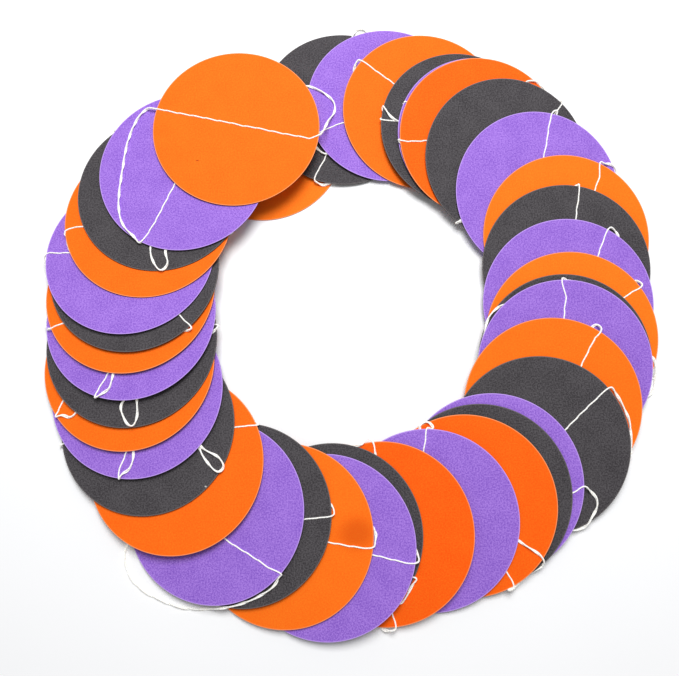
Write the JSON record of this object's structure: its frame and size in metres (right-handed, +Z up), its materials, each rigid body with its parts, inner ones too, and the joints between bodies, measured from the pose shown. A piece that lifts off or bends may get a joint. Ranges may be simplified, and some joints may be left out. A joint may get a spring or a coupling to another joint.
{
  "type": "paper streamer garland",
  "caption": "Garland of round coloured cards sewn in a row on one thread, lying coiled once round in a ring with its loose loops of thread between the cards.",
  "frame": {"origin": "on the ground, at the middle of the box around the discs seen from above", "axes": "+Z up out of the ring; +Y towards the top of the picture, where disc 1 lies on the heap's upper left; +X to the right"},
  "size_m": [0.1812, 0.1829, 0.0082],
  "materials": {
    "orange_card": "matte through-dyed craft card",
    "purple_card": "matte through-dyed craft card",
    "black_card": "matte through-dyed craft card, charcoal black",
    "white_thread": "spun polyester sewing thread, off-white"
  },
  "bodies": {
    "root": {"disc_01_orange": "orange_card", "disc_02_purple": "purple_card", "disc_03_black": "black_card", "disc_04_orange": "orange_card", "disc_05_purple": "purple_card", "disc_06_black": "black_card", "disc_07_orange": "orange_card", "disc_08_purple": "purple_card", "disc_09_black": "black_card", "disc_10_orange": "orange_card", "disc_11_purple": "purple_card", "disc_12_black": "black_card", "disc_13_orange": "orange_card", "disc_14_purple": "purple_card", "disc_15_black": "black_card", "disc_16_orange": "orange_card", "disc_17_purple": "purple_card", "disc_18_black": "black_card", "disc_19_orange": "orange_card", "disc_20_purple": "purple_card", "disc_21_orange": "orange_card", "disc_22_black": "black_card", "disc_23_purple": "purple_card", "disc_24_black": "black_card", "disc_25_orange": "orange_card", "disc_26_purple": "purple_card", "disc_27_black": "black_card", "disc_28_orange": "orange_card", "disc_29_purple": "purple_card", "disc_30_black": "black_card", "disc_31_orange": "orange_card", "disc_32_purple": "purple_card", "disc_33_black": "black_card", "disc_34_orange": "orange_card", "disc_35_purple": "purple_card", "disc_36_black": "black_card", "disc_37_orange": "orange_card", "disc_38_purple": "purple_card", "disc_39_black": "black_card", "disc_40_orange": "orange_card", "sewing_thread": "white_thread"}
  },
  "joints": []
}
